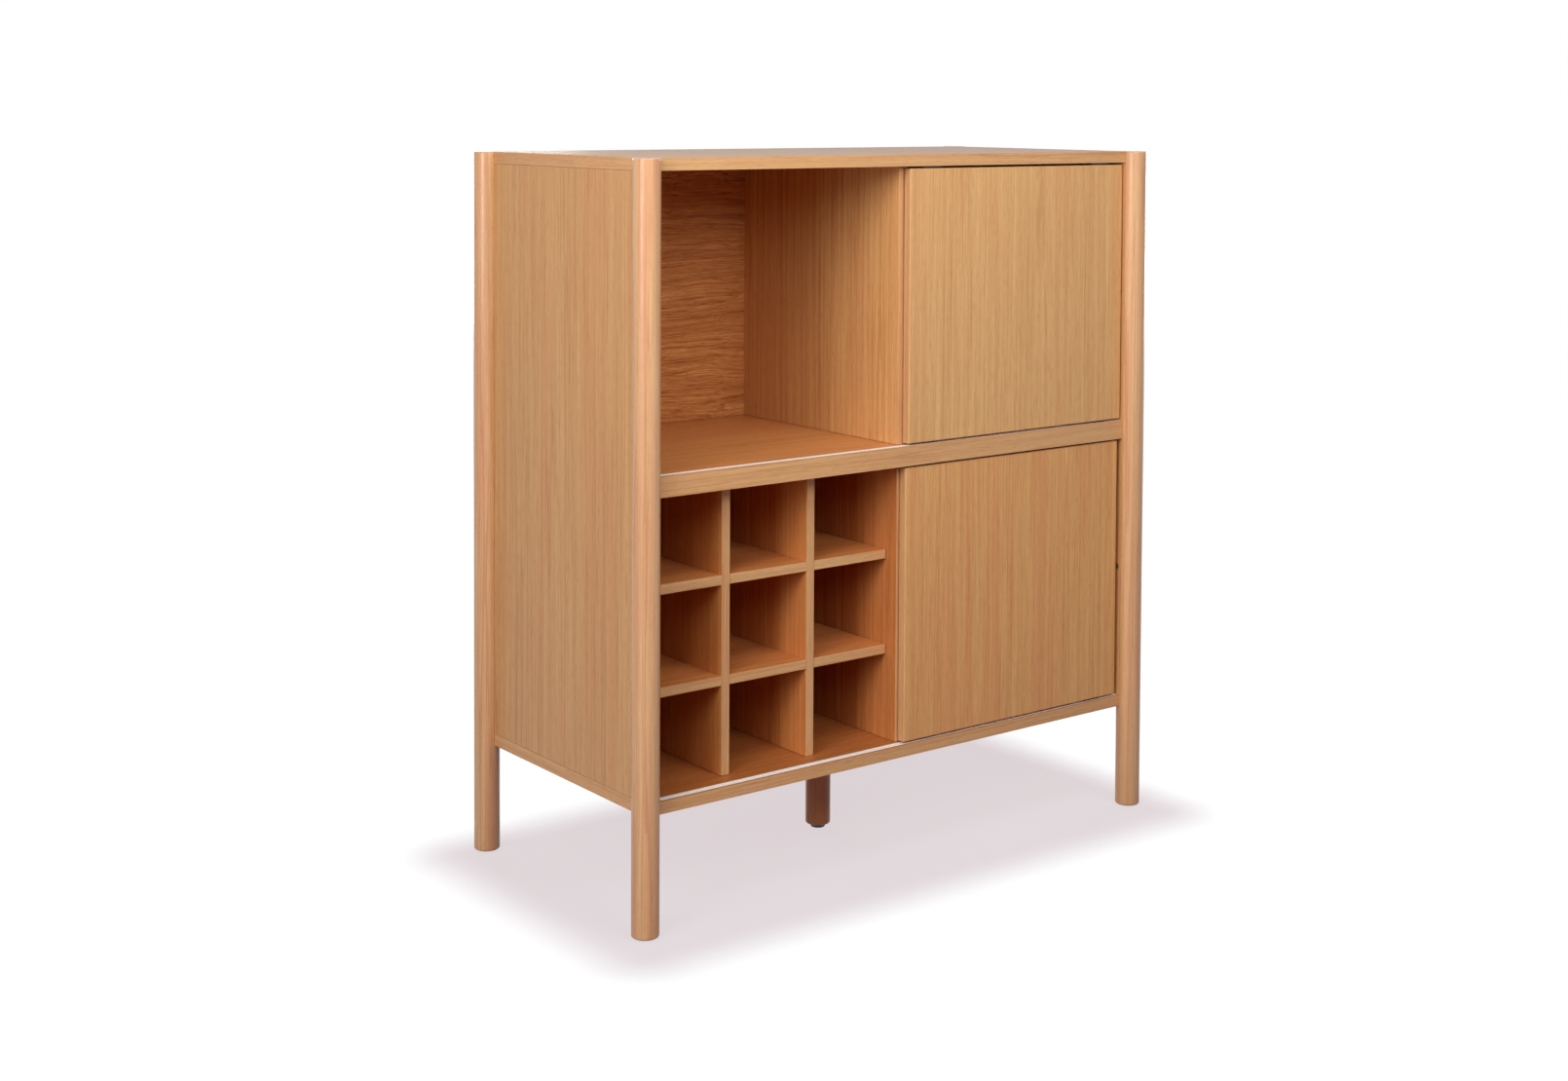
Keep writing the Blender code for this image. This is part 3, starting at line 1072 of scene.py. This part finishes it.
@dataclass
class Carcass:
    """Top, bottom, middle shelf and sides, drilled for their dowels and screws and housed for the tracks."""

    edge_round: float = 0.00012
    level_seeds: Seeds = Seeds(11.0, 1.3)
    side_seeds: Seeds = Seeds(5.0, 1.9)

    def house_track(self, piece: Piece, node: str, up: bool) -> None:
        """Cut the groove that a track is let into.

        Args:
            piece: the board.
            node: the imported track.
            up: whether the track faces up, or else down.
        """
        low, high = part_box(node)
        below, above = (JOINT_GAP, REACH) if up else (REACH, JOINT_GAP)
        cut_box(piece, (low.x - JOINT_GAP, low.y - JOINT_GAP, low.z - below),
                (high.x + JOINT_GAP, high.y + JOINT_GAP, high.z + above))

    def build_level_boards(self, fasteners: Fasteners) -> None:
        """Model and dress the top, the bottom and the middle shelf.

        Args:
            fasteners: what drills them for the dowels and the centre leg's screw.
        """
        # The top's lot is paler as a painted reflection, and the bottom's and the middle shelf's are darker
        # or more orange as painted shade
        boards = {"top_panel": ("top", Lot.TOP, {"upper_door_guide_rail": False}),
                  "bottom_panel": ("bottom", Lot.BOTTOM, {"lower_door_track": True}),
                  "middle_shelf": ("shelf", Lot.SHELF, {"upper_door_track": True,
                                                        "lower_door_guide_rail": False})}
        for number, (node, (joint, lot, tracks)) in enumerate(boards.items()):
            board = Board(node, Z, Grain.ALONG_FRONT, lot, self.level_seeds.at(number), self.edge_round)
            piece = board.model()
            for track, up in tracks.items():
                self.house_track(piece, track, up)
            for side in SIDES:
                for end in ENDS:
                    fasteners.drill_dowel(piece, f"dowel_{joint}_{side}_{end}")
            if node == "bottom_panel":
                fasteners.drill_screw(piece, "centre_leg_screw")
            board.dress(piece)

    def build_sides(self, fasteners: Fasteners) -> None:
        """Model and dress the left and the right side panel.

        Args:
            fasteners: what drills them for the dowels and the posts' screws.
        """
        for side, sign in SIDES.items():
            board = Board(f"side_panel_{side}", X, Grain.UPRIGHT, Lot.SIDE, self.side_seeds.at(sign),
                          self.edge_round)
            piece = board.model()
            for end in ENDS:
                for joint in ("top", "bottom", "shelf"):
                    fasteners.drill_dowel(piece, f"dowel_{joint}_{side}_{end}")
                for half in HALVES:
                    fasteners.drill_screw(piece, f"post_screw_{end}_{side}_{half}")
            board.dress(piece)

    def build(self, fasteners: Fasteners) -> None:
        """Model and dress the five boards."""
        self.build_level_boards(fasteners)
        self.build_sides(fasteners)


@dataclass
class Compartments:
    """Dividers and back panels of both halves. The backs' veneer is darker and more orange, partly painted
    shade of the deep compartments, and its grain wavy.
    """

    sheen: float = 0.25
    contrast: float = 1.4
    back_contrast: float = 1.9
    back_streak_mm: float = 5.0
    back_line_depth: float = 0.5
    back_pore_depth: float = 0.6
    divider_seeds: Seeds = Seeds(17.0, 2.3)
    back_seeds: Seeds = Seeds(23.0, 1.1)
    # The lower divider's lot is darker, as painted shade
    divider_lots: tuple[Lot, Lot] = (Lot.UPPER, Lot.LOWER)

    def build(self) -> None:
        """Model and dress the four boards."""
        for number, half in enumerate(HALVES):
            divider = Board(f"{half}_divider", X, Grain.UPRIGHT, self.divider_lots[number],
                            self.divider_seeds.at(number))
            divider.dress(divider.model(), sheen=self.sheen, contrast=self.contrast)
            back = Board(f"{half}_back_panel", Y, Grain.ALONG_FRONT, Lot.BACK, self.back_seeds.at(number))
            back.dress(back.model(), figure=Figure.WAVY, sheen=self.sheen, contrast=self.back_contrast,
                       streak_mm=self.back_streak_mm, line_depth=self.back_line_depth,
                       pore_depth=self.back_pore_depth)


@dataclass
class BottleRack:
    """Two uprights and two shelves that lap over each other and make nine cells."""

    sheen: float = 0.25
    upright_seeds: Seeds = Seeds(29.0, 1.0)
    shelf_seeds: Seeds = Seeds(33.0, 1.0)

    def lap(self, piece: Piece, board: Board, other: Board, from_back: bool) -> None:
        """Cut the slot in which a crossing board lies.

        Args:
            piece: the modelled board.
            board: what it is.
            other: the board that crosses it.
            from_back: whether the slot is open at the back, or else at the front.
        """
        low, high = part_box(board.node)
        other_low, other_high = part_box(other.node)
        middle = (low.y + high.y) / 2
        low[board.thin] -= REACH
        high[board.thin] += REACH
        low[other.thin] = other_low[other.thin] - JOINT_GAP
        high[other.thin] = other_high[other.thin] + JOINT_GAP
        if from_back:
            low.y, high.y = middle - JOINT_GAP / 2, high.y + REACH
        else:
            low.y, high.y = low.y - REACH, middle + JOINT_GAP / 2
        cut_box(piece, low, high)

    def build(self) -> None:
        """Model, lap and dress the four boards."""
        numbers = (1, 2)
        # The uprights' lot is more orange, as painted shade of the cells
        uprights = [Board(f"rack_upright_{n}", X, Grain.UPRIGHT, Lot.RACK, self.upright_seeds.at(n))
                    for n in numbers]
        # The rack shelves' lot is darker, as painted shade of the cells
        shelves = [Board(f"rack_shelf_{n}", Z, Grain.ALONG_FRONT, Lot.LOWER, self.shelf_seeds.at(n))
                   for n in numbers]
        for group, crossing, from_back in ((uprights, shelves, True), (shelves, uprights, False)):
            for board in group:
                piece = board.model()
                for other in crossing:
                    self.lap(piece, board, other, from_back)
                board.dress(piece, sheen=self.sheen)


@dataclass
class DoorTracks:
    """Grooved white strips under and over the doors, with rounded lips."""

    lip_round: float = 0.0004

    def build(self) -> None:
        """Model and dress the four strips."""
        pvc = ExtrudedPvc().material()
        for node in (f"{half}_door_{kind}" for half in HALVES for kind in ("track", "guide_rail")):
            stand_in(remodel(node, f"pvc_{node}", self.lip_round), node, "white_pvc", pvc)


@dataclass
class SlidingDoors:
    """Two veneered doors with softened edges, each on two nylon runners and under two nylon guides.

    The lower door's veneer is livelier than the upper one's, with stronger rosy bands. Each pair of values is
    for the upper and the lower door.
    """

    edge_round: float = 0.0016
    round_steps: int = 4
    shoe_round: float = 0.0003
    contrasts: Span = (1.2, 1.5)
    band_depths: Span = (0.18, 0.4)
    line_depth: float = 0.2
    # The lower door's lot is redder, as painted shade toward the floor
    lots: tuple[Lot, Lot] = (Lot.UPPER_DOOR, Lot.LOWER_DOOR)
    seeds: Seeds = Seeds(41.0, 3.7)

    def build_door(self, number: int, nylon: bpy.types.Material) -> None:
        """Model and dress one door and its four shoes.

        Args:
            number: 0 for the upper door and 1 for the lower one.
            nylon: the shoes' material.
        """
        half = HALVES[number]
        board = Board(f"{half}_door", Y, Grain.UPRIGHT, self.lots[number], self.seeds.at(number),
                      self.edge_round, self.round_steps, "oak_veneer_door")
        piece = board.model()
        gap = Vector((JOINT_GAP,) * 3)
        for node in (f"{half}_door_{kind}_{side}" for kind in ("runner", "guide") for side in SIDES):
            low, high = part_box(node)
            cut_box(piece, low - gap, high + gap)
            stand_in(remodel(node, f"nylon_{node}", self.shoe_round), node, "black_nylon", nylon)
        board.dress(piece, contrast=self.contrasts[number], band_depth=self.band_depths[number],
                    line_depth=self.line_depth)

    def build(self) -> None:
        """Model and dress both doors."""
        nylon = MouldedNylon("black_low_friction_nylon", "191817", roughness=(0.34, 0.46)).material()
        for number in range(len(HALVES)):
            self.build_door(number, nylon)


# The studio


@dataclass(frozen=True)
class Lamp:
    """Rectangular soft lamp: its middle, the point that it faces, its width and height, and its watts."""

    name: str
    place: Triple
    target: Triple
    size: Span
    watts: float

    def add(self) -> None:
        """Hang the lamp."""
        data = bpy.data.lights.new(self.name, "AREA")
        data.shape = "RECTANGLE"
        data.size, data.size_y = self.size
        data.energy = self.watts
        lamp = bpy.data.objects.new(self.name, data)
        lamp.location = self.place
        lamp.rotation_euler = (Vector(self.target) - Vector(self.place)).to_track_quat("-Z", "Y").to_euler()
        bpy.context.scene.collection.objects.link(lamp)


@dataclass
class Studio:
    """Pale floor with a painted shadow, soft lamps and the camera."""

    camera_place: Triple = (-1.7542, -2.2137, 0.9620)
    yaw: float = 0.6527
    pitch: float = 0.0422
    roll: float = 0.0049
    lens: float = 49.23
    sensor_width: float = 36.0
    shift_y: float = -0.2206
    ambient: str = "140C0A"
    floor_size: float = 24.0
    # Near the cabinet the floor's glow is a painted shadow, which fades to white over the reach past the
    # cabinet's footprint, shifted a little
    painted_shadow_glow: Colour = (0.695, 0.625, 0.645, 1.0)
    floor_answer: Colour = (0.08, 0.09, 0.09, 1.0)
    painted_shadow_reach: Span = (0.0, 0.12)
    shadow_shift: Triple = (-0.01, -0.025, 0.0)
    floor_colour: str = "70361C"
    lamps: tuple[Lamp, ...] = (
        Lamp("front_low", (-0.2, -1.7, 1.4), (0.1, 0, 0.6), (1.0, 0.6), 14.0),
        Lamp("front_high", (0.0, -1.0, 1.9), (0.2, 0, 0.6), (1.2, 0.5), 7.0),
        Lamp("left", (-2.6, -0.9, 1.3), (0, 0, 0.55), (1.0, 1.7), 37.0),
        Lamp("key", (-1.5, -0.95, 1.5), (-0.1, 0, 0.6), (0.8, 0.8), 13.0),
        Lamp("right", (2.6, 0.6, 0.9), (0, 0, 0.5), (1.2, 1.0), 26.0),
        Lamp("rear", (0.4, 2.7, 0.9), (0, 0, 0.5), (1.6, 1.0), 34.0),
    )

    def add_camera(self) -> None:
        """Put the camera at the picture's place."""
        forward = Vector((math.sin(self.yaw) * math.cos(self.pitch),
                          math.cos(self.yaw) * math.cos(self.pitch), -math.sin(self.pitch)))
        level = Vector((math.cos(self.yaw), -math.sin(self.yaw), 0))
        upright = level.cross(forward)
        right = math.cos(self.roll) * level + math.sin(self.roll) * upright
        up = math.cos(self.roll) * upright - math.sin(self.roll) * level
        data = bpy.data.cameras.new("camera")
        data.sensor_fit = "HORIZONTAL"
        data.sensor_width = self.sensor_width
        data.lens = self.lens
        data.shift_y = self.shift_y
        camera = bpy.data.objects.new("camera", data)
        turn = Matrix((right, up, -forward)).transposed().to_4x4()
        camera.matrix_world = Matrix.Translation(self.camera_place) @ turn
        bpy.context.scene.collection.objects.link(camera)
        bpy.context.scene.camera = camera

    def seen_share(self, tree: Tree) -> Socket:
        """Tell what the camera sees, directly, mirrored or through glass, from the light on the object.

        Args:
            tree: the tree that gets the nodes.

        Returns:
            1 for what is seen and 0 for the light.
        """
        path = add_node(tree, "LightPath").outputs
        mirrored = compute(tree, "Math", "MAXIMUM", path["Is Camera Ray"], path["Is Glossy Ray"])
        return compute(tree, "Math", "MAXIMUM", mirrored, path["Is Transmission Ray"])

    def light_world(self) -> None:
        """Give a white background and a dim even light from all round."""
        world = bpy.data.worlds.new("studio")
        bpy.context.scene.world = world
        world.use_nodes = True
        tree = world.node_tree
        tree.nodes.clear()
        dim = add_node(tree, "Background", {"Color": linear(self.ambient)}).outputs[0]
        white = add_node(tree, "Background", {"Color": WHITE}).outputs[0]
        mixed = add_node(tree, "MixShader", {0: self.seen_share(tree), 1: dim, 2: white})
        add_node(tree, "OutputWorld", {"Surface": mixed.outputs[0]})

    def floor_with_painted_shadow(self, tree: Tree, corner: Vector) -> Socket:
        """Colour of the floor's glow: a soft mauve painted shadow near the cabinet, and white elsewhere.

        Args:
            tree: the floor's tree.
            corner: the cabinet's highest corner.

        Returns:
            The colour.
        """
        place = add_node(tree, "TexCoord").outputs["Object"]
        centred = compute(tree, "VectorMath", "SUBTRACT", place, self.shadow_shift)
        folded = compute(tree, "VectorMath", "ABSOLUTE", centred)
        past = compute(tree, "VectorMath", "SUBTRACT", folded, (corner.x, corner.y, 0.0))
        outside = compute(tree, "VectorMath", "MAXIMUM", past, (0.0, 0.0, 0.0))
        distance = compute(tree, "VectorMath", "LENGTH", outside, output=1)
        far = spread(tree, distance, (0.0, 1.0), self.painted_shadow_reach, interpolation_type="SMOOTHSTEP")
        return blend(tree, far, self.painted_shadow_glow, WHITE)

    def lay_floor(self) -> None:
        """Lay a pale floor that shows its glow, with a painted shadow near the cabinet, and a faint answer to
        the lamps, and lights the cabinet with a darker colour.
        """
        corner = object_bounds()[1]
        bpy.ops.mesh.primitive_plane_add(size=self.floor_size)
        floor = bpy.context.object
        floor.name = "studio_floor"
        material = bpy.data.materials.new("studio_floor")
        material.use_nodes = True
        tree = material.node_tree
        tree.nodes.clear()
        glow = add_node(tree, "Emission", {"Color": self.floor_with_painted_shadow(tree, corner)}).outputs[0]
        answer = add_node(tree, "BsdfDiffuse", {"Color": self.floor_answer}).outputs[0]
        seen = add_node(tree, "AddShader", {0: glow, 1: answer}).outputs[0]
        plain = add_node(tree, "BsdfDiffuse", {"Color": linear(self.floor_colour)}).outputs[0]
        mixed = add_node(tree, "MixShader", {0: self.seen_share(tree), 1: plain, 2: seen})
        add_node(tree, "OutputMaterial", {"Surface": mixed.outputs[0]})
        floor.data.materials.append(material)
        floor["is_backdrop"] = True

    def build(self) -> None:
        """Set the studio up."""
        self.add_camera()
        self.light_world()
        self.lay_floor()
        for lamp in self.lamps:
            lamp.add()
        bpy.context.scene.view_settings.view_transform = "Standard"


def corners() -> list[list[float]]:
    """The shown object's lowest and highest corner as plain lists."""
    return [list(corner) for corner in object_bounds()]


def main() -> None:
    """Build the cabinet's pieces and the studio."""
    logging.basicConfig(level=logging.INFO, format="%(name)s: %(message)s")
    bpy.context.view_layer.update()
    fasteners = Fasteners()
    glides = Glides()
    Posts().build(fasteners, glides)
    glides.build()
    Carcass().build(fasteners)
    Compartments().build()
    BottleRack().build()
    DoorTracks().build()
    SlidingDoors().build()
    fasteners.build_screws()
    fasteners.build_dowels()
    Studio().build()


if __name__ == "__main__":
    main()
